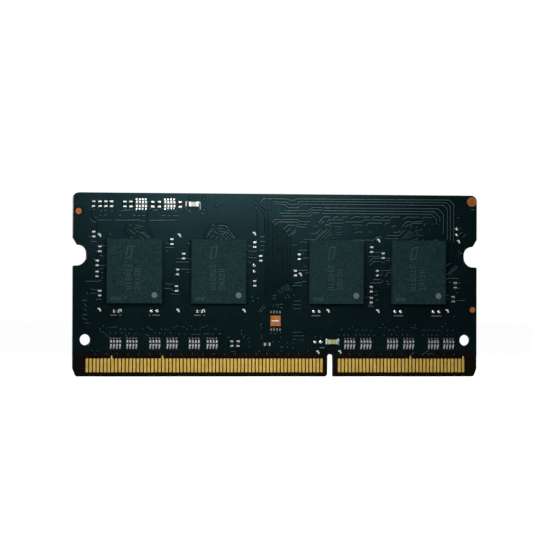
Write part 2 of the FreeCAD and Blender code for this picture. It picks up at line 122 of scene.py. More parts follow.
FANS = (
    "9.1,24.95 9.6,24.6; 10.2,24.75 11.5,24.45; 10.0,24.25 11.1,24.2; 9.1,24.0 10.2,23.25; "
    "10.2,23.85 11.0,23.5 11.6,23.4; 11.3,23.7 12.7,22.65; 11.0,23.55 12.3,22.55; 10.9,22.9 11.7,22.4; "
    "9.4,22.65 9.9,22.7; 22.9,24.75 23.4,24.85; 24.0,24.75 25.1,24.75 25.6,24.4; 23.8,24.25 24.7,24.3; "
    "24.1,23.9 25.4,23.6; 24.3,23.4 25.0,23.4; 22.2,23.4 23.1,24.2; 22.0,22.8 22.8,23.7; "
    "23.1,23.9 23.9,23.4; 23.4,22.4 23.9,22.9; 25.2,23.9 26.6,22.6; 24.9,23.6 26.0,22.5; "
    "24.5,23.2 25.6,22.4; 22.6,22.6 23.2,23.2; 24.1,22.9 24.8,22.4; 25.5,24.2 26.9,22.6; "
    "40.5,22.5 42.3,24.3; 41.1,22.5 42.8,24.2; 41.7,22.5 43.0,23.8; 42.3,22.6 43.1,23.4; "
    "42.6,24.9 43.0,24.6; 43.5,24.7 44.8,24.65; 43.9,24.2 44.5,24.35; 43.7,23.75 44.7,23.8; "
    "43.5,23.35 44.6,23.35; 43.0,22.85 43.8,22.85; 54.7,22.7 56.3,24.15; 55.2,22.75 56.5,23.95; "
    "55.7,22.8 56.8,23.8; 56.2,22.8 56.9,23.4; 56.2,24.6 56.6,24.9; 57.1,24.55 57.6,24.85; "
    "57.1,23.9 57.5,24.3; 57.7,24.1 58.3,24.5; 56.5,22.4 57.1,22.75; 57.6,23.35 58.4,23.35; "
    "57.1,23.3 57.6,23.8; 57.2,22.6 57.6,22.95; 58.2,22.35 58.5,22.7"
)
STUBS = (
    "3.9,21.4 5.4,21.35; 3.7,20.35 4.0,20.4; 4.4,19.75 4.9,19.6; 3.3,19.2 3.7,19.0; 4.1,18.1 5.5,18.1; "
    "4.4,17.6 4.9,17.55; 2.0,15.5 4.1,15.5 4.6,15.75; 2.8,14.2 4.0,14.1; 2.9,13.55 3.9,13.6; "
    "3.7,12.55 4.7,12.6; 2.2,13.7 2.5,13.45; 2.6,22.8 3.0,22.8; 2.9,22.0 3.8,22.0; 4.6,17.0 4.9,16.9; "
    "4.7,16.2 4.9,16.1; 15.1,21.1 16.7,21.1; 15.3,21.75 15.8,21.75; 15.3,20.5 15.6,20.55; "
    "15.2,15.15 16.4,15.1; 14.9,14.45 16.1,14.35 16.6,13.95; 16.1,13.55 17.5,13.4; 17.1,19.3 17.9,19.3; "
    "18.4,19.35 19.1,19.35 19.5,19.1; 16.9,18.72 19.2,18.72; 17.6,17.55 19.4,17.55; "
    "18.8,17.05 19.3,17.05; 16.7,16.55 17.6,16.5; 28.7,21.4 29.6,21.4; "
    "28.7,20.95 29.2,20.55 30.4,20.55; 28.9,19.6 29.5,19.5 30.4,19.5; 28.9,18.95 29.4,18.6; "
    "31.0,22.95 31.7,22.95; 31.0,22.2 31.8,22.15; 31.0,21.45 31.7,21.45; 31.0,20.72 31.7,20.72; "
    "37.3,20.78 38.8,20.78; 38.0,20.3 38.3,20.3; 37.9,19.45 39.2,19.45; 37.3,17.45 39.0,17.45; "
    "38.6,17.05 39.2,17.05; 38.1,15.6 38.7,15.65; 36.8,15.35 37.9,15.45; 36.4,14.95 38.0,14.95; "
    "38.3,18.1 38.6,18.1; 49.2,19.82 51.2,19.82; 49.3,19.0 50.0,19.5 51.2,19.5; "
    "49.4,18.3 50.1,18.98 51.1,18.98; 50.2,20.5 51.2,20.5; 52.0,19.5 53.0,19.5; 51.3,18.82 52.0,18.82; "
    "52.1,19.12 52.9,19.12; 51.1,17.5 52.8,17.5 53.0,17.85; 52.0,16.5 52.5,17.15 53.1,17.2; "
    "51.2,16.6 51.6,17.1; 50.0,16.0 51.2,16.0; 49.5,15.45 51.3,15.45 51.7,15.85; 52.2,15.75 52.6,15.7; "
    "52.3,15.2 52.8,15.3; 50.2,14.0 50.7,14.0; 50.2,13.4 50.9,13.5; 50.4,12.55 50.9,12.75; "
    "48.7,13.1 49.0,13.1; 49.1,11.6 50.1,11.5; 49.3,11.85 50.0,11.8; 62.5,16.85 64.1,18.35; "
    "62.9,16.8 64.4,18.2; 62.4,18.35 63.1,18.75; 62.2,16.05 62.8,16.25 64.5,16.25; "
    "64.3,20.75 64.7,20.7; 64.7,20.25 65.1,20.4; 62.9,15.6 63.2,15.6; 64.3,15.5 64.9,15.5; "
    "64.1,14.6 64.8,14.65; 62.4,13.35 62.8,13.4; 62.5,12.8 62.9,12.8; 64.1,12.6 65.6,12.6; "
    "64.1,13.85 64.5,13.9; 65.2,23.1 65.7,23.5; 64.7,24.6 64.9,24.5; 64.6,23.6 65.1,23.9; "
    "66.7,27.6 67.1,27.7; 64.2,26.3 64.7,26.3; 1.4,12.4 2.3,12.4; 1.8,11.85 2.3,11.4; "
    "1.7,11.1 2.3,10.7; 1.5,10.05 2.3,10.05; 1.5,9.5 2.3,9.2; 1.9,8.75 2.6,8.7"
)
DECAP_LINES = (
    "3.9,25.5 6.2,25.5; 6.7,25.5 11.0,25.55; 11.2,25.45 11.8,25.4; 12.5,25.5 17.3,25.6; "
    "2.75,25.75 3.2,25.3 3.7,25.15; 3.1,27.2 3.5,27.2; 4.3,27.0 4.8,27.0; 5.1,27.1 5.6,27.1; "
    "6.1,27.0 6.5,27.0; 7.8,26.95 8.2,27.1 9.8,27.2; 10.1,27.0 10.5,27.0; 11.4,27.2 11.9,27.0; "
    "13.1,27.2 13.9,27.2; 4.2,26.3 4.6,26.3; 5.0,26.3 5.4,26.3; 7.5,26.3 7.9,26.3; 9.8,26.3 10.2,26.3; "
    "10.6,26.3 11.0,26.3; 11.3,26.3 11.8,26.3; 14.6,26.3 15.1,26.3; 15.6,26.3 16.0,26.3; "
    "16.4,26.3 17.5,26.3; 3.4,25.95 4.0,25.9; 18.4,27.8 19.0,27.0 19.4,26.75; 15.4,27.2 16.2,27.2; "
    "16.5,27.3 17.0,27.0; 21.0,26.75 21.6,26.7"
)
POWER_EDGES = (
    "3.9,27.3 3.0,27.3 2.9,26.3 3.8,25.2 3.8,23.6; 12.2,27.2 12.2,25.3; 30.45,27.3 30.45,22.9; "
    "32.3,27.1 32.3,24.2; 31.0,27.9 32.1,27.15; 31.0,27.3 31.7,26.4 31.7,23.6; "
    "21.6,22.4 21.8,23.6 22.8,24.95 25.2,25.0 25.8,24.3 27.0,22.4; 8.8,24.9 8.4,24.0 9.2,22.6; "
    "12.0,24.6 13.1,22.8; 60.4,26.9 60.9,26.4; 62.9,27.4 62.9,23.4"
)
LOWER_LINES = (
    "36.6,12.45 37.8,12.45; 36.4,11.78 37.8,11.78; 36.6,11.15 37.8,11.15; 36.4,7.28 38.0,7.28; "
    "36.5,6.68 38.4,6.68; 36.4,6.1 37.1,6.1; 37.5,5.95 38.4,6.1; 33.1,13.3 33.7,13.3; "
    "33.1,12.75 33.7,12.78; 33.5,11.85 34.9,11.85; 33.7,11.5 34.1,11.4; 34.3,11.3 34.8,11.3; "
    "33.0,11.6 33.3,11.6; 30.7,10.6 31.6,11.75; 31.0,10.5 31.9,11.5; 32.6,7.1 33.0,7.05; "
    "33.3,7.1 33.8,6.95; 34.2,7.35 34.5,7.2; 34.3,4.8 34.9,4.82; 34.7,4.3 34.5,4.1; "
    "34.4,14.6 35.0,14.0; 34.7,14.9 35.5,14.1; 35.1,15.0 36.0,14.1; 35.5,15.1 36.3,14.3; "
    "35.6,13.4 36.0,12.9; 34.0,14.2 34.6,13.7; 26.2,4.12 26.9,4.12; 25.6,6.3 25.9,6.6; "
    "28.1,6.3 28.6,6.8; 28.9,6.1 29.2,6.4; 6.1,8.0 6.9,8.05 7.2,8.15; 9.2,7.7 9.8,7.7; "
    "4.4,7.45 5.3,7.0 5.9,6.35; 8.5,7.0 9.0,6.5; 11.9,6.9 12.6,6.6; 12.2,8.2 12.8,7.7; "
    "15.0,7.7 15.8,7.7; 15.9,7.2 16.3,6.95; 17.9,8.15 18.4,8.1; 19.5,6.9 21.0,6.9; 21.2,8.05 21.8,8.1; "
    "24.0,7.0 24.5,7.0; 21.6,6.95 22.6,7.0; 20.0,7.6 20.4,7.7; 56.3,8.1 57.5,8.0; 58.4,7.7 59.0,7.65; "
    "60.0,7.65 60.5,7.65; 60.9,7.6 61.4,7.65; 58.2,6.85 58.7,6.85; 59.1,6.85 59.5,6.85; "
    "48.3,6.9 48.7,6.8; 47.0,7.7 47.4,7.65; 48.0,7.5 48.5,7.7; 51.0,8.05 51.4,8.1; 53.8,8.1 54.3,8.2; "
    "61.5,8.25 62.0,8.3; 2.5,5.0 2.7,4.9; 3.0,4.4 3.3,4.1; 3.9,4.2 4.4,4.2; 56.2,3.6 57.0,4.0; "
    "58.4,3.6 59.4,4.3; 59.2,3.6 60.0,3.9; 63.6,9.95 64.0,10.0"
)
TRACE_BUNDLE = {
    "first": 31.8,
    "pitch": 0.42,
    "count": 11,
    "low": 13.3,
    "rise": 0.17,
    "high": 26.1,
    "fall": 0.25,
}
LARGE_VIAS = (
    "19.3,29.2 21.6,29.15 19.3,27.2 21.6,27.25 23.7,27.95 30.3,28.45 30.3,27.7 32.6,27.75 6.05,23.2 "
    "19.0,21.75"
)
SMALL_VIAS = (
    "4.4,7.8 5.6,7.9 7.8,7.75 8.6,7.7 7.0,7.1 6.1,7.1 8.0,7.1 9.2,7.0 10.3,6.95 11.6,7.9 13.0,7.7 "
    "13.6,7.1 14.3,7.1 14.6,7.7 15.1,7.0 16.7,8.0 17.2,8.25 17.5,6.9 18.5,6.9 18.8,7.7 19.6,8.2 "
    "21.0,7.7 22.1,8.3 23.6,7.75 23.1,6.9 27.9,7.55 27.9,7.0 29.2,5.65 29.2,4.9 30.9,4.2 35.6,5.5 "
    "35.6,4.85 36.6,5.4 36.6,4.7 34.5,6.4 39.0,4.15 33.2,5.65 38.1,5.7 34.1,5.7 31.2,8.6 31.0,8.4 "
    "31.3,8.0 31.2,6.7 31.3,6.3 30.6,12.85 29.6,13.0 29.8,12.4 40.3,6.5 41.2,6.5 44.7,7.75 46.5,8.1 "
    "46.0,7.9 44.2,6.85 45.1,6.85 45.8,6.85 47.1,6.8 47.8,6.85 49.3,6.8 49.7,7.65 48.9,7.65 50.2,6.8 "
    "51.7,8.6 51.9,8.05 52.7,7.65 53.5,7.7 55.0,7.7 51.9,6.8 53.2,6.85 54.0,6.8 55.0,6.9 55.8,6.9 "
    "57.1,8.5 59.5,7.6 60.0,6.8 60.8,6.8 62.3,8.7 62.7,7.7 63.6,7.7 62.6,6.85 63.4,6.85 5.0,8.2 "
    "36.7,13.35 35.3,12.85 59.6,24.25 60.0,25.2 61.1,25.2"
)
# Over the contacts: strips of mask with no copper under it, and a row of vias
CONTACT_BANDS = "0.15,3.73 42.05,3.73; 43.5,3.73 67.45,3.73; 42.0,4.42 43.7,4.42"
CONTACT_VIAS = {"z": 3.68, "pitch": 1.78, "ranges": [(3.7, 39.2), (46.0, 65.2)]}

# Printed marks
CORNER_MARK = [(-0.26, 0.22), (0.05, 0.2), (0.2, -0.22)]  # one corner, from its middle
CORNER_MARKS = (
    "4.3,10.85 17.3,10.75 28.3,10.75 42.4,10.75 50.8,10.75 62.6,10.8 17.5,23.05 30.0,23.4 50.9,22.4 "
    "64.5,22.3 40.7,3.95 44.4,4.0 37.7,16.75 4.3,23.0"
)
UNDERLINES = (
    "6.1,10.02 7.2,10.02; 7.6,10.02 7.9,10.02; 12.5,10.02 12.7,10.02; 13.1,10.02 14.3,10.02; "
    "20.0,10.02 21.1,10.02; 21.5,10.05 21.8,10.02; 39.6,10.0 41.1,10.0; 53.5,10.02 55.1,10.0; "
    "59.9,10.02 61.6,10.0; 41.0,4.75 41.8,4.75"
)
BRACKETS = (
    "18.75,28.55 18.6,28.55 18.6,27.85; 20.65,28.6 20.9,28.5 20.95,27.4; 42.3,6.15 42.1,6.1 42.1,5.3; "
    "43.95,6.15 44.2,6.1 44.2,5.2; 7.6,10.95 7.9,10.9 7.9,10.55; 21.4,10.95 21.7,10.85 21.75,10.5"
)
CONTACT_TAILS = "6.35,2.85 6.35,3.38; 14.75,2.85 14.75,3.4; 56.35,2.85 56.35,3.38; 65.3,2.85 65.3,3.35"

# Marks burnt into the packages, from each package's lower left corner
CODE_COLUMNS = [(3.55, 2.3, 6), (5.0, 2.3, 5)]  # middle, low end and number of marks
CODE_STEP = 0.72
CODE_MARKS = (  # from each mark's lower middle
    "-0.42,0.05 0.42,0.05; -0.42,0.4 0.42,0.4",
    "-0.38,0 -0.38,0.45; 0,0 0,0.45; 0.38,0 0.38,0.45",
    "-0.42,0.22 0.1,0.22; 0.3,0 0.3,0.45",
)
BADGE = [(3.0, 7.3), (3.35, 9.2), (4.25, 9.4), (3.9, 7.5), (3.0, 7.3)]
BATCH = (0.65, 0.45, 4)  # left side, foot and number of bar pairs
BATCH_STEP = 0.46
BATCH_HEIGHT = 0.62
BATCH_GAP = 0.19

# Wiring on the rear face
REAR_BUS = {
    "count": 7,
    "top": 29.3,
    "pitch": 0.42,
    "left": 4.2,
    "left_step": 0.4,
    "right": 62.4,
    "right_step": 0.5,
    "foot": 24.6,
    "bend": 0.9,
}
REAR_BUS_START = (0.8, 1.2)  # how far along and up its first slanting length goes
REAR_ARRAYS = (6.95, 9.65, 13.45, 16.3, 20.0, 22.95, 46.0, 48.75, 53.25, 56.0, 60.2, 62.8)
ARRAY_LINES = 4
ARRAY_LINE_PITCH = 0.5
ARRAY_UPPER = (6.5, 7.0, 7.5, 8.2)  # heights of an upper line's ends and bends
ARRAY_LOWER = (4.2, 3.9, 3.5)
ARRAY_LEANS = (-0.5, -0.25, 0.25, 0.5)
FAN_LINES = 8
FAN_PITCH = 0.55
FAN_START = 2.1  # how far left of its package's middle a fan starts
FAN_LEAN = 0.9
FAN_HEIGHTS = (0.2, 1.3, 2.7)  # over the package: the foot, the bend and the lowest top
REAR_MARK_GAP = 0.5  # how far outside its part a printed corner stands

# Stage, in metres
FLOOR_HALF = 3.0
FLOOR_CORNERS = ((-1, -1), (1, -1), (1, 1), (-1, 1))
FLOOR_PAPER = (0.92, 0.92, 0.92)
# Painted pool of light: the floor close under the object is painted brighter than the floor beyond, seen
# only in the object's glossy reflections
PAINTED_POOL_FADE = (0.040, 0.090)  # distances from the middle where the painted pool of light on the floor starts and ends fading
PAINTED_POOL_COLOUR = (0.6, 0.6, 0.6)
FAR_FLOOR_COLOUR = (0.05, 0.05, 0.05)
ROOM_COLOUR = (0.9, 0.95, 1.0)
ROOM_STRENGTH = 0.03
SUN_ANGLE = 5


def board_point(side, x, z, lift=0.0):
    """A place on one face, lifted off the solder mask, in metres."""
    return Vector((BOARD_LOW.x + x * MM, FACE_Y[side] + side * lift * MM, BOARD_LOW.z + z * MM))


def routes(text):
    """Every route in a text, as lists of (x, z)."""
    found = []
    for line in text.split(";"):
        found.append([tuple(float(n) for n in word.split(",")) for word in line.split()])
    return found


def build_piece(name, vertices, faces, material):
    """Makes one mesh piece that rides on the module."""
    mesh = bpy.data.meshes.new(name)
    mesh.from_pydata([tuple(v) for v in vertices], [], faces)
    mesh.validate()
    mesh.update()
    piece = bpy.data.objects.new(name, mesh)
    bpy.context.scene.collection.objects.link(piece)
    piece.data.materials.append(material)
    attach(piece, "root")
    return piece


def outward(face, side):
    """A face's corners in the order that makes it look away from the board on either side."""
    return face if side == FRONT else face[::-1]


def add_line(vertices, faces, side, points, width, height, base=0.0):
    """Adds a raised line along points: a flat top, sloping sides and closed ends."""
    start = len(vertices)
    count = len(points)
    slope = min(height, width * LINE_SLOPE)
    for i, (x, z) in enumerate(points):
        before = points[max(i - 1, 0)]
        after = points[min(i + 1, count - 1)]
        here = Vector((x, z))
        arriving = (here - Vector(before)).normalized() if i else (Vector(after) - here).normalized()
        leaving = (Vector(after) - here).normalized() if i < count - 1 else arriving
        middle = (arriving + leaving).normalized()
        across = Vector((-middle.y, middle.x))
        stretch = 1.0 / max(middle.dot(arriving), SHARPEST_BEND)
        half = width / 2
        for reach, lift in ((-half, -SINK), (-half + slope, height), (half - slope, height), (half, -SINK)):
            place = here + across * reach * stretch
            vertices.append(board_point(side, place.x, place.y, base + lift))
    for i in range(count - 1):
        a = start + 4 * i
        b = a + 4
        for j in range(4):
            k = (j + 1) % 4
            faces.append(outward([a + k, a + j, b + j, b + k], side))
    faces.append(outward([start, start + 1, start + 2, start + 3], side))
    last = start + 4 * (count - 1)
    faces.append(outward([last + 3, last + 2, last + 1, last], side))


def add_turned(vertices, faces, side, x, z, profile, base=0.0, segments=16):
    """Adds a round piece from its profile of (radius, height), outermost first, closed at its middle."""
    start = len(vertices)
    for radius, height in profile:
        for i in range(segments):
            angle = 2 * math.pi * i / segments
            across = x + radius * math.cos(angle)
            up = z + radius * math.sin(angle)
            vertices.append(board_point(side, across, up, base + height))
    for ring in range(len(profile) - 1):
        for i in range(segments):
            j = (i + 1) % segments
            a = start + ring * segments
            b = a + segments
            faces.append(outward([a + i, a + j, b + j, b + i], side))
    faces.append(outward([start + (len(profile) - 1) * segments + i for i in range(segments)], side))
    faces.append(outward([start + i for i in reversed(range(segments))], side))


def lines_piece(name, side, lines, size, material, base=0.0):
    """One piece made of lines. Each lies a hair higher than the last, so crossings don't share a plane."""
    vertices = []
    faces = []
    for i, points in enumerate(lines):
        add_line(vertices, faces, side, points, size[0], size[1] + i * HAIR, base)
    return build_piece(name, vertices, faces, material)


def wiring(name, side, lines, size, f):
    """Lines of copper under the mask, and the dark gaps in the copper round them."""
    lines_piece(name + "_lines", side, lines, size, f["masked_copper"])
    gap = (size[0] + GAP_MARGIN, POUR_GAP[1])
    lines_piece(name + "_gaps", side, lines, gap, f["mask_gap"])


def turned_piece(name, side, places, profile, material, base=0.0):
    """One piece made of the same round shape at every place."""
    vertices = []
    faces = []
    for x, z in places:
        add_turned(vertices, faces, side, x, z, profile, base)
    return build_piece(name, vertices, faces, material)


class Nodes:
    """A material's node tree, with short calls for the nodes that the finishes share."""

    def __init__(self, name):
        self.material = bpy.data.materials.new(name)
        self.material.use_nodes = True
        self.tree = self.material.node_tree
        self.shader = self.tree.nodes["Principled BSDF"]
        self.place = self.tree.nodes.new("ShaderNodeTexCoord").outputs["Object"]

    def add(self, kind, **inputs):
        """A new node with its inputs set."""
        node = self.tree.nodes.new(kind)
        for key, value in inputs.items():
            self.put(node, key, value)
        return node

    def put(self, node, key, value):
        """Sets one input, or links it if the value is another node's output."""
        socket = node.inputs[key.replace("_", " ")]
        if isinstance(value, bpy.types.NodeSocket):
            self.tree.links.new(value, socket)
        else:
            socket.default_value = value

    def noise(self, size, detail=2.0, stretch=(1, 1, 1)):
        """Noise whose grain is about size millimetres, stretched along the axes."""
        mapping = self.add("ShaderNodeMapping", Vector=self.place)
        mapping.inputs["Scale"].default_value = [1.0 / (size * MM * s) for s in stretch]
        texture = self.add("ShaderNodeTexNoise", Vector=mapping.outputs["Vector"], Scale=1.0, Detail=detail)
        return texture.outputs["Fac"]

    def ramp(self, factor, stops):
        """A colour from a factor, through (place, colour) stops."""
        node = self.add("ShaderNodeValToRGB", Fac=factor)
        elements = node.color_ramp.elements
        while len(elements) < len(stops):
            elements.new(0.5)
        for element, (at, colour) in zip(elements, stops):
            element.position = at
            element.color = (*colour, 1.0)
        return node.outputs["Color"]

    def spread(self, factor, low, high):
        """A number between low and high from noise, which mostly lies between 0.3 and 0.7."""
        node = self.add("ShaderNodeMapRange", Value=factor)
        node.inputs["From Min"].default_value = 0.3
        node.inputs["From Max"].default_value = 0.7
        node.inputs["To Min"].default_value = low
        node.inputs["To Max"].default_value = high
        return node.outputs["Result"]

    def mix(self, factor, first, second):
        """A colour between two others, which may be links."""
        node = self.tree.nodes.new("ShaderNodeMix")
        node.data_type = "RGBA"
        colours = [s for s in node.inputs if s.type == "RGBA"]
        self.tree.links.new(factor, node.inputs["Factor"])
        for socket, value in zip(colours, (first, second)):
            if isinstance(value, bpy.types.NodeSocket):
                self.tree.links.new(value, socket)
            else:
                socket.default_value = (*value, 1.0)
        return next(s for s in node.outputs if s.type == "RGBA")

    def bump(self, height, strength, depth):
        """Relief of depth millimetres from a height."""
        node = self.add("ShaderNodeBump", Height=height, Strength=strength, Distance=depth * MM)
        self.tree.links.new(node.outputs["Normal"], self.shader.inputs["Normal"])

    def surface(self, colour, roughness, metallic=0.0, **constants):
        """Sets the shader: colour and roughness may be links, the rest are constants on its own sockets."""
        self.put(self.shader, "Base_Color", colour)
        self.put(self.shader, "Roughness", roughness)
        self.shader.inputs["Metallic"].default_value = metallic
        for key, value in constants.items():
            self.shader.inputs[key.replace("_", " ")].default_value = value
        return self.material


def mask_finish():
    """Glossy blue-green solder mask: faint clouding, a fine orange-peel skin and dust-sized specks."""
    n = Nodes("solder_mask")
    clouds = n.noise(9.0, detail=3.0)
    grain = n.noise(0.09)
    skin = n.noise(0.45, detail=3.0)
    base = n.ramp(clouds, [(0.35, (0.0034, 0.0115, 0.0135)), (0.65, (0.0047, 0.0150, 0.0170))])
    speck = n.ramp(grain, [(0.62, (0.0, 0.0, 0.0)), (0.75, (1.0, 1.0, 1.0))])
    colour = n.mix(speck, base, (0.010, 0.025, 0.027))
    n.bump(skin, strength=0.2, depth=0.01)
    rough = n.spread(n.noise(1.6, detail=3.0), 0.245, 0.285)
    return n.surface(colour, rough, metallic=0.7, Specular_IOR_Level=0.06)


def masked_copper_finish(name, dark, light):
    """Solder mask lying over copper, which makes it paler and a little smoother."""
    n = Nodes(name)
    base = n.ramp(n.noise(3.0, detail=3.0), [(0.3, dark), (0.7, light)])
    n.bump(n.noise(0.25), strength=0.3, depth=0.01)
    rough = n.spread(n.noise(0.5), 0.28, 0.38)
    return n.surface(base, rough, metallic=0.5, Specular_IOR_Level=0.2)


def mask_gap_finish():
    """Solder mask over bare laminate, the darkest lines on the board."""
    n = Nodes("mask_gap")
    base = n.ramp(n.noise(2.0), [(0.3, (0.0007, 0.0024, 0.0030)), (0.7, (0.0012, 0.0036, 0.0044))])
    n.bump(n.noise(0.2), strength=0.2, depth=0.01)
    rough = n.spread(n.noise(0.6), 0.25, 0.31)
    return n.surface(base, rough, metallic=0.6, Specular_IOR_Level=0.06)


def laminate_finish():
    """Bare glass-fibre laminate: dark brown-red resin over a fine square weave."""
    n = Nodes("laminate")
    warp = n.noise(0.35, stretch=(0.35, 1, 4))
    weft = n.noise(0.35, stretch=(4, 1, 0.35))
    weave = n.mix(warp, (0.0042, 0.0025, 0.0013), (0.0095, 0.0056, 0.0028))
    colour = n.mix(weft, weave, (0.0036, 0.0027, 0.0016))
    n.bump(weft, strength=0.3, depth=0.015)
    return n.surface(colour, n.spread(n.noise(0.3), 0.5, 0.66), Specular_IOR_Level=0.03)


def gold_finish():
    """Gold plating with the fine upright scratches that a socket's springs leave."""
    n = Nodes("gold")
    scratch = n.noise(0.035, stretch=(1, 1, 40))
    tone = n.noise(0.7, detail=3.0)
    warm = n.ramp(tone, [(0.3, (0.54, 0.345, 0.066)), (0.7, (0.66, 0.445, 0.106))])
    colour = n.mix(n.ramp(scratch, [(0.60, (0, 0, 0)), (0.72, (1, 1, 1))]), warm, (0.78, 0.60, 0.23))
    n.bump(scratch, strength=0.25, depth=0.004)
    return n.surface(colour, n.spread(scratch, 0.34, 0.48), metallic=1.0)


def copper_finish():
    """Bare orange copper, a little tarnished."""
    n = Nodes("copper")
    tarnish = n.noise(0.35, detail=3.0)
    colour = n.ramp(tarnish, [(0.3, (0.28, 0.080, 0.018)), (0.7, (0.44, 0.150, 0.042))])
    n.bump(n.noise(0.06), strength=0.3, depth=0.006)
    return n.surface(colour, n.spread(tarnish, 0.42, 0.56), metallic=0.8)


def tin_finish(name, low, high, dark, light):
    """Bright tin metal with a frosty grain."""
    n = Nodes(name)
    grain = n.noise(0.07, detail=3.0)
    colour = n.ramp(grain, [(0.3, dark), (0.7, light)])
    n.bump(n.noise(0.12), strength=0.35, depth=0.012)
    return n.surface(colour, n.spread(grain, low, high), metallic=1.0)


def mould_finish():
    """Matt moulding compound with pale filler specks and a sanded grain."""
    n = Nodes("mould_compound")
    broad = n.noise(1.3, detail=4.0)
    filler = n.noise(0.12, detail=3.0)
    base = n.ramp(broad, [(0.3, (0.0040, 0.0150, 0.0168)), (0.7, (0.0064, 0.0200, 0.0222))])
    speck = n.ramp(filler, [(0.50, (0, 0, 0)), (0.66, (1, 1, 1))])
    colour = n.mix(speck, base, (0.022, 0.050, 0.053))
    n.bump(filler, strength=0.6, depth=0.014)
    return n.surface(colour, n.spread(filler, 0.50, 0.62), Specular_IOR_Level=0.04)


def plain_finish(name, dark, light, size, rough, relief, level):
    """A matt or glazed solid with a mottled colour, its own grain and a little relief."""
    n = Nodes(name)
    grain = n.noise(size, detail=3.0)
    colour = n.ramp(grain, [(0.3, dark), (0.7, light)])
    n.bump(n.noise(size * 0.6), strength=0.4, depth=relief)
    return n.surface(colour, n.spread(grain, *rough), Specular_IOR_Level=level)


# name: darker colour, lighter colour, grain in mm, roughness range, relief in mm, specular level
PLAIN_FINISHES = {
    "mask_on_laminate": ((0.0015, 0.0018, 0.0017), (0.0026, 0.0029, 0.0027), 1.5, (0.3, 0.4), 0.01, 0.06),
    "package_substrate": ((0.02, 0.032, 0.015), (0.04, 0.055, 0.025), 0.2, (0.4, 0.55), 0.01, 0.5),
    "silicon": ((0.10, 0.11, 0.13), (0.16, 0.17, 0.20), 0.3, (0.15, 0.25), 0.01, 0.5),
    "capacitor_ceramic": ((0.006, 0.0075, 0.007), (0.014, 0.016, 0.014), 0.1, (0.4, 0.55), 0.01, 0.1),
    "pale_ceramic": ((0.44, 0.44, 0.40), (0.58, 0.57, 0.52), 0.12, (0.4, 0.55), 0.01, 0.5),
    "olive_ceramic": ((0.25, 0.27, 0.12), (0.36, 0.38, 0.18), 0.12, (0.35, 0.5), 0.01, 0.5),
    "resistor_glaze": ((0.007, 0.008, 0.010), (0.013, 0.014, 0.017), 0.15, (0.25, 0.4), 0.01, 0.5),
    "ink": ((0.46, 0.47, 0.42), (0.66, 0.66, 0.58), 0.08, (0.55, 0.7), 0.004, 0.5),
    "laser_mark": ((0.028, 0.060, 0.062), (0.060, 0.100, 0.098), 0.06, (0.6, 0.75), 0.004, 0.1),
    "pin_mark": ((0.075, 0.105, 0.105), (0.115, 0.145, 0.142), 0.08, (0.45, 0.6), 0.004, 0.2),
}


def make_finishes():
    """Every finish, by its material slot, and the finishes of the wiring and marks."""
    finishes = {
        "solder_mask": mask_finish(),
        "masked_copper": masked_copper_finish("masked_copper", (0.026, 0.056, 0.062), (0.038, 0.076, 0.080)),
        "masked_via": masked_copper_finish("masked_via", (0.014, 0.033, 0.038), (0.023, 0.048, 0.052)),
        "mask_gap": mask_gap_finish(),
        "laminate": laminate_finish(),
        "gold": gold_finish(),
        "copper": copper_finish(),
        "solder": tin_finish("solder", 0.14, 0.26, (0.46, 0.47, 0.48), (0.64, 0.64, 0.64)),
        "tin_ends": tin_finish("tin_ends", 0.26, 0.40, (0.50, 0.51, 0.51), (0.70, 0.70, 0.69)),
        "mould_compound": mould_finish(),
    }
    for name, values in PLAIN_FINISHES.items():
        finishes[name] = plain_finish(name, *values)
    return finishes


def dress_cad_nodes(finishes):
    """Gives every CAD node the finish of its material slot."""
    for entry in frame["record"]["subparts"]:
        node = frame["nodes"][entry["node"]]
        node.data.materials.clear()
        node.data.materials.append(finishes[entry["material_slot"]])


def bundle_routes():
    """The gaps between the upright lines that run down between the second and third packages."""
    b = TRACE_BUNDLE
    lines = []
    for i in range(b["count"]):
        x = b["first"] + i * b["pitch"]
        lines.append([(x, b["low"] + b["rise"] * i), (x, b["high"] - b["fall"] * i)])
    return lines


def contact_via_places():
    """The vias in the strip over the contacts, at one pitch on both sides of the key slot."""
    places = []
    for low, high in CONTACT_VIAS["ranges"]:
        steps = int((high - low) / CONTACT_VIAS["pitch"]) + 1
        places += [(low + i * CONTACT_VIAS["pitch"], CONTACT_VIAS["z"]) for i in range(steps)]
    return places


def contact_bands(side, f):
    """The strip over the contacts, where the mask lies on laminate with no copper under it."""
    name = SIDE_NAME[side] + "_contact_bands"
    lines = routes(CONTACT_BANDS)
    lines_piece(name, side, lines, CONTACT_BAND, f["mask_on_laminate"])


def front_wiring(f):
    """Copper lines and vias that show through the front mask."""
    wiring("front_bus", FRONT, routes(BUS), TRACE, f)
    wiring("front_step", FRONT, routes(STEPS), TRACE, f)
    wiring("front_fan", FRONT, routes(FANS), FINE_TRACE, f)
    wiring("front_stub", FRONT, routes(STUBS), TRACE, f)
    wiring("front_upper_left", FRONT, routes(DECAP_LINES), TRACE, f)
    wiring("front_lower", FRONT, routes(LOWER_LINES), FINE_TRACE, f)
    lines_piece("front_bundle_gaps", FRONT, bundle_routes(), POUR_GAP, f["mask_gap"])
    lines_piece("front_pour_gaps", FRONT, routes(POWER_EDGES), POUR_GAP, f["mask_gap"])
    contact_bands(FRONT, f)
    large = routes(LARGE_VIAS)[0]
    small = routes(SMALL_VIAS)[0] + contact_via_places()
    turned_piece("front_via_gaps", FRONT, large, VIA_GAP, f["mask_gap"])
    turned_piece("front_large_vias", FRONT, large, VIA_CAP, f["masked_via"])
    turned_piece("front_small_via_gaps", FRONT, small, SMALL_VIA_GAP, f["mask_gap"])
    turned_piece("front_small_vias", FRONT, small, SMALL_VIA, f["masked_via"])


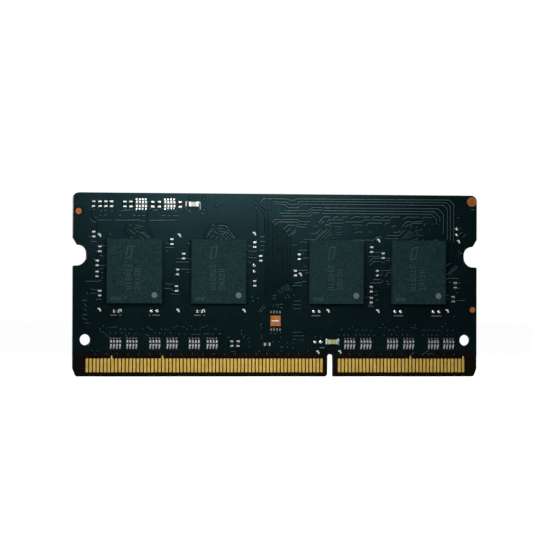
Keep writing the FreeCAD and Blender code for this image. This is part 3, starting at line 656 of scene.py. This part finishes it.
def corner_mark_routes():
    """The printed corners beside the front's packages and small parts."""
    marks = []
    for x, z in routes(CORNER_MARKS)[0]:
        marks.append([(x + across, z + up) for across, up in CORNER_MARK])
    return marks


def front_print(f):
    """Printed marks beside the front's parts, and the plating tails above four contacts."""
    ink = f["ink"]
    lines_piece("front_corner_marks", FRONT, corner_mark_routes(), CORNER_INK, ink)
    lines_piece("front_underlines", FRONT, routes(UNDERLINES), UNDERLINE_INK, f["pin_mark"])
    lines_piece("front_part_brackets", FRONT, routes(BRACKETS), BRACKET_INK, ink)
    lines_piece("front_contact_tails", FRONT, routes(CONTACT_TAILS), CONTACT_TAIL, f["gold"])


def code_mark(x, z, kind):
    """One plain mark of a code column, with its lower middle at (x, z)."""
    return [[(x + across, z + up) for across, up in line] for line in routes(CODE_MARKS[kind])]


def mark_routes(left, low):
    """Plain bars and a slanted box burnt into one package's top, where a maker would put its codes."""
    lines = [[(left + x, low + z) for x, z in BADGE]]
    for column, (middle, bottom, count) in enumerate(CODE_COLUMNS):
        for i in range(count):
            kind = (i * 2 + column) % len(CODE_MARKS)
            lines += code_mark(left + middle, low + bottom + i * CODE_STEP, kind)
    start_x, start_z, count = BATCH
    for i in range(count):
        x = left + start_x + i * BATCH_STEP
        foot = low + start_z
        lines.append([(x, foot), (x, foot + BATCH_HEIGHT)])
        second = x + BATCH_GAP
        lines.append([(second, foot + BATCH_HEIGHT / 2 * (i % 2)), (second, foot + BATCH_HEIGHT)])
    return lines


def board_box(node):
    """The left, right, low and high sides of a node in mm on the board's face."""
    lowest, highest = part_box(node)
    left = (lowest.x - BOARD_LOW.x) / MM
    right = (highest.x - BOARD_LOW.x) / MM
    return left, right, (lowest.z - BOARD_LOW.z) / MM, (highest.z - BOARD_LOW.z) / MM


def package_marks(side, f):
    """Codes and the pin-one disc on one face's packages."""
    name = SIDE_NAME[side]
    lines = []
    discs = []
    for number in DRAM_NUMBERS:
        mould = f"{name}_dram_{number}_mould"
        left, right, low, _ = board_box(mould)
        lowest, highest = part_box(mould)
        top = abs((lowest.y if side == FRONT else highest.y) - FACE_Y[side]) / MM
        if side == FRONT:
            lines += mark_routes(left, low)
            discs.append((right - PIN_DISC_INSET[0], low + PIN_DISC_INSET[1]))
        else:
            lines += [[(left + right - x, z) for x, z in line] for line in mark_routes(left, low)]
            discs.append((left + PIN_DISC_INSET[0], low + PIN_DISC_INSET[1]))
    lines_piece(name + "_package_codes", side, lines, LASER, f["laser_mark"], top)
    turned_piece(name + "_pin_one_discs", side, discs, PIN_DISC, f["pin_mark"], top)


def rear_bus_routes():
    """Long lines over the packages that turn down at the board's right end."""
    lines = []
    for i in range(REAR_BUS["count"]):
        z = REAR_BUS["top"] - REAR_BUS["pitch"] * i
        left = REAR_BUS["left"] + REAR_BUS["left_step"] * i
        right = REAR_BUS["right"] - REAR_BUS["right_step"] * i
        bend = REAR_BUS["bend"]
        along, up = REAR_BUS_START
        rise = [(left, z - up), (left + along, z)]
        drop = [(right - bend, z), (right, z - bend), (right, REAR_BUS["foot"])]
        lines.append(rise + drop)
    return lines


def rear_escape_routes(draw):
    """The short lines that leave the rear resistor arrays, up to their vias and down to the contacts."""
    lines = []
    foot, bend, knee, top = ARRAY_UPPER
    head, turn, end = ARRAY_LOWER
    for middle in REAR_ARRAYS:
        for i in range(ARRAY_LINES):
            x = middle + ARRAY_LINE_PITCH * (i - 1.5)
            lean = draw.choice(ARRAY_LEANS)
            lines.append([(x, foot), (x, bend), (x + lean, knee), (x + lean, top + 0.3 * (i % 2))])
            lines.append([(x, head), (x, turn), (x - lean * 0.4, end)])
    return lines


def rear_fan_routes():
    """Slanting lines that rise from the top of each rear package."""
    lines = []
    foot, bend, top = FAN_HEIGHTS
    for number in DRAM_NUMBERS:
        left, right, _, high = board_box(f"rear_dram_{number}_mould")
        start = (left + right) / 2 - FAN_START
        for i in range(FAN_LINES):
            x = start + FAN_PITCH * i
            leant = x + FAN_LEAN
            lines.append([(x, high + foot), (leant, high + bend), (leant, high + top + 0.2 * (i % 3))])
    return lines


def rear_mark_routes():
    """Printed corners under each rear package and round the settings memory."""
    marks = []
    for number in DRAM_NUMBERS:
        left, right, low, _ = board_box(f"rear_dram_{number}_mould")
        for corner, step in ((left - REAR_MARK_GAP, 0.8), (right + REAR_MARK_GAP, -0.8)):
            marks.append([(corner + step, low - 0.7), (corner, low - 0.7), (corner, low + 0.1)])
    left, right, _, high = board_box("settings_memory_body")
    top = high + REAR_MARK_GAP
    for corner, step in ((left - REAR_MARK_GAP, 0.9), (right + REAR_MARK_GAP, -0.9)):
        marks.append([(corner, high - 0.3), (corner, top), (corner + step, top)])
    return marks


def rear_wiring(f):
    """Lines, vias and printed marks on the rear face."""
    escapes = rear_escape_routes(random.Random(7))
    fans = rear_fan_routes()
    wiring("rear_bus", REAR, rear_bus_routes(), TRACE, f)
    lines_piece("rear_bundle_gaps", REAR, bundle_routes(), POUR_GAP, f["mask_gap"])
    wiring("rear_escape", REAR, escapes, FINE_TRACE, f)
    wiring("rear_fan", REAR, fans, FINE_TRACE, f)
    contact_bands(REAR, f)
    places = [line[-1] for line in escapes[::2] + fans] + contact_via_places()
    turned_piece("rear_via_gaps", REAR, places, SMALL_VIA_GAP, f["mask_gap"])
    turned_piece("rear_vias", REAR, places, SMALL_VIA, f["masked_via"])
    lines_piece("rear_corner_marks", REAR, rear_mark_routes(), INK, f["ink"])


def make_camera():
    """The photographed view: level with the board, a little to the left of it."""
    data = bpy.data.cameras.new("camera")
    data.sensor_width = SENSOR
    data.lens = SENSOR * VIEW_DISTANCE / VIEW_FIELD
    data.clip_start = 0.01
    data.clip_end = 20
    camera = bpy.data.objects.new("camera", data)
    bpy.context.scene.collection.objects.link(camera)
    middle = (BOARD_LOW + BOARD_HIGH) / 2
    aim = middle + Vector((VIEW_AIM[0] * MM, 0, VIEW_AIM[1] * MM))
    turn = Euler((math.radians(90 + VIEW_PITCH), math.radians(VIEW_ROLL), math.radians(-VIEW_YAW)))
    camera.rotation_euler = turn
    camera.location = aim + turn.to_matrix() @ Vector((0, 0, VIEW_DISTANCE * MM))
    bpy.context.scene.camera = camera


def add_light(name, kind, place, aim, power):
    """A light at a place in metres, turned towards aim. It lights the scene but isn't seen itself."""
    data = bpy.data.lights.new(name, kind)
    data.energy = power
    lamp = bpy.data.objects.new(name, data)
    bpy.context.scene.collection.objects.link(lamp)
    lamp.location = place
    lamp.rotation_euler = (Vector(aim) - Vector(place)).to_track_quat("-Z", "Y").to_euler()
    lamp.visible_camera = False
    return data


def add_pool(name, place, aim, power, radius, cone):
    """A soft-edged pool of light from a lamp of some radius, in metres, and a cone in degrees."""
    data = add_light(name, "SPOT", place, aim, power)
    data.shadow_soft_size = radius
    data.spot_size = math.radians(cone)
    data.spot_blend = 1.0


def add_panel(name, place, aim, power, size):
    """A soft panel of some width and height, in metres."""
    data = add_light(name, "AREA", place, aim, power)
    data.shape = "RECTANGLE"
    data.size, data.size_y = size


def light_path_mix(tree, seen, unseen):
    """Shows one shader to the camera and another to every other ray."""
    mix = tree.nodes.new("ShaderNodeMixShader")
    path = tree.nodes.new("ShaderNodeLightPath")
    tree.links.new(path.outputs["Is Camera Ray"], mix.inputs[0])
    tree.links.new(unseen, mix.inputs[1])
    tree.links.new(seen, mix.inputs[2])
    return mix.outputs[0]


def painted_pool_reflection(tree, painted_pool, far):
    """Paints a pool of light on the floor close under the object, which its surfaces see only in their
    glossy reflections, and little of the floor beyond.
    """
    place = tree.nodes.new("ShaderNodeTexCoord")
    length = tree.nodes.new("ShaderNodeVectorMath")
    length.operation = "LENGTH"
    fade = tree.nodes.new("ShaderNodeMapRange")
    fade.interpolation_type = "SMOOTHSTEP"
    for socket, value in zip(("From Min", "From Max", "To Min", "To Max"), (*PAINTED_POOL_FADE, 1.0, 0.0)):
        fade.inputs[socket].default_value = value
    path = tree.nodes.new("ShaderNodeLightPath")
    both = tree.nodes.new("ShaderNodeMath")
    both.operation = "MULTIPLY"
    mix = tree.nodes.new("ShaderNodeMixShader")
    tree.links.new(place.outputs["Object"], length.inputs[0])
    tree.links.new(length.outputs["Value"], fade.inputs["Value"])
    tree.links.new(fade.outputs["Result"], both.inputs[0])
    tree.links.new(path.outputs["Is Glossy Ray"], both.inputs[1])
    tree.links.new(both.outputs[0], mix.inputs[0])
    tree.links.new(far, mix.inputs[1])
    tree.links.new(painted_pool, mix.inputs[2])
    return mix.outputs[0]


def diffuse(tree, colour):
    """A plain matt shader."""
    node = tree.nodes.new("ShaderNodeBsdfDiffuse")
    node.inputs["Color"].default_value = (*colour, 1)
    return node.outputs[0]


def floor_finish():
    """Pale paper to the camera, and a dimmer floor to the object's surfaces, with a painted pool of light
    close under the object in their reflections.
    """
    paper = bpy.data.materials.new("floor_paper")
    paper.use_nodes = True
    tree = paper.node_tree
    pale = tree.nodes["Principled BSDF"]
    pale.inputs["Base Color"].default_value = (*FLOOR_PAPER, 1)
    pale.inputs["Roughness"].default_value = 0.9
    far = diffuse(tree, FAR_FLOOR_COLOUR)
    # painted pool of light, seen only in the object's glossy reflections
    painted_pool = diffuse(tree, PAINTED_POOL_COLOUR)
    unseen = painted_pool_reflection(tree, painted_pool, far)
    shown = light_path_mix(tree, pale.outputs[0], unseen)
    tree.links.new(shown, tree.nodes["Material Output"].inputs["Surface"])
    return paper


def make_floor():
    """A plain pale floor under the contact edge."""
    mesh = bpy.data.meshes.new("floor")
    corners = [(FLOOR_HALF * x, FLOOR_HALF * y, BOARD_LOW.z) for x, y in FLOOR_CORNERS]
    mesh.from_pydata(corners, [], [(0, 1, 2, 3)])
    floor = bpy.data.objects.new("floor", mesh)
    bpy.context.scene.collection.objects.link(floor)
    floor.data.materials.append(floor_finish())


def make_backdrop():
    """A world that looks white and lights the object only faintly."""
    world = bpy.data.worlds.new("studio")
    bpy.context.scene.world = world
    world.use_nodes = True
    tree = world.node_tree
    seen = tree.nodes["Background"]
    seen.inputs["Color"].default_value = (1, 1, 1, 1)
    seen.inputs["Strength"].default_value = 1.0
    unseen = tree.nodes.new("ShaderNodeBackground")
    unseen.inputs["Color"].default_value = (*ROOM_COLOUR, 1)
    unseen.inputs["Strength"].default_value = ROOM_STRENGTH
    shown = light_path_mix(tree, seen.outputs[0], unseen.outputs[0])
    tree.links.new(shown, tree.nodes["World Output"].inputs["Surface"])


def make_lights():
    """On each face a pool of light, a sheen and a low side panel, and a sun over both."""
    add_pool("front_key", (-0.17, -0.27, 0.175), (-0.008, 0, 0.033), power=4.9, radius=0.014, cone=17)
    add_panel("front_sheen", (0.012, -0.10, 0.039), (-0.007, 0, 0.035), power=0.025, size=(0.05, 0.014))
    add_panel("front_side", (-0.20, -0.20, 0.016), (0, 0, 0.014), power=0.15, size=(0.12, 0.03))
    add_panel("rear_side", (0.20, 0.20, 0.016), (0, 0, 0.014), power=0.15, size=(0.12, 0.03))
    add_pool("rear_key", (0.15, 0.28, 0.165), (0.008, 0, 0.030), power=5.0, radius=0.02, cone=20)
    add_panel("rear_sheen", (-0.06, 0.10, 0.036), (0.011, 0, 0.034), power=0.022, size=(0.05, 0.014))
    sun = add_light("overhead", "SUN", (0, 0, 1), (0, 0, 0), power=3.5)
    sun.angle = math.radians(SUN_ANGLE)


finishes = make_finishes()
dress_cad_nodes(finishes)
make_camera()
make_floor()
make_backdrop()
make_lights()
bpy.context.scene.view_settings.view_transform = "Standard"
front_wiring(finishes)
front_print(finishes)
package_marks(FRONT, finishes)
rear_wiring(finishes)
package_marks(REAR, finishes)
